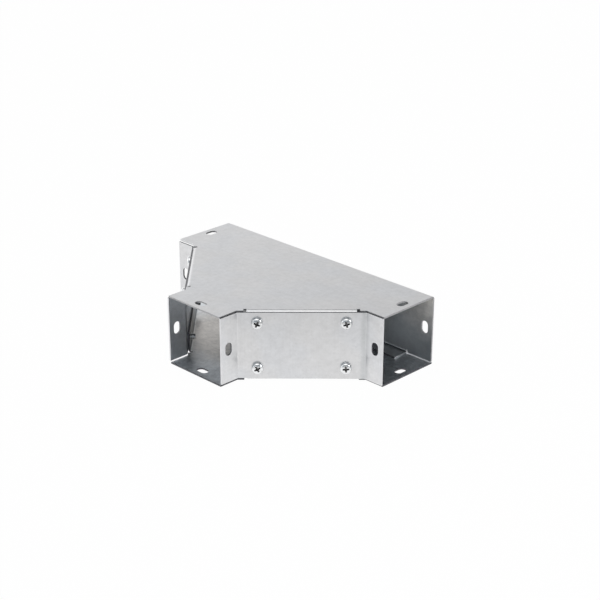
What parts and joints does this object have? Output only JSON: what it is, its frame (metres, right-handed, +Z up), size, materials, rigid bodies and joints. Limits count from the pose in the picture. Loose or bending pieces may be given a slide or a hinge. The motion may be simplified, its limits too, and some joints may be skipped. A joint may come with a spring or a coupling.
{
  "type": "cable tray tee",
  "caption": "Square galvanised steel cable trunking tee with diagonal corner covers screwed between its top and bottom plates, open and slotted at each end.",
  "frame": {"origin": "where the centre lines of the run and of the branch cross, on the underside of the bottom plate", "axes": "+X along the run to its right-hand end, -Y along the branch to its open end, +Z up through the plates"},
  "size_m": [0.2, 0.125, 0.05],
  "materials": {
    "galvanised_sheet": "galvanised, satin with a faint mottle",
    "zinc_screw": "bright zinc plate"
  },
  "bodies": {
    "root": {"body_shell": "galvanised_sheet", "bottom_plate": "galvanised_sheet", "right_corner_cover": "galvanised_sheet", "left_corner_cover": "galvanised_sheet", "right_cover_screw_upper_branch": "zinc_screw", "right_cover_screw_upper_run": "zinc_screw", "right_cover_screw_lower_branch": "zinc_screw", "right_cover_screw_lower_run": "zinc_screw", "left_cover_screw_upper_branch": "zinc_screw", "left_cover_screw_upper_run": "zinc_screw", "left_cover_screw_lower_branch": "zinc_screw", "left_cover_screw_lower_run": "zinc_screw"}
  },
  "joints": []
}
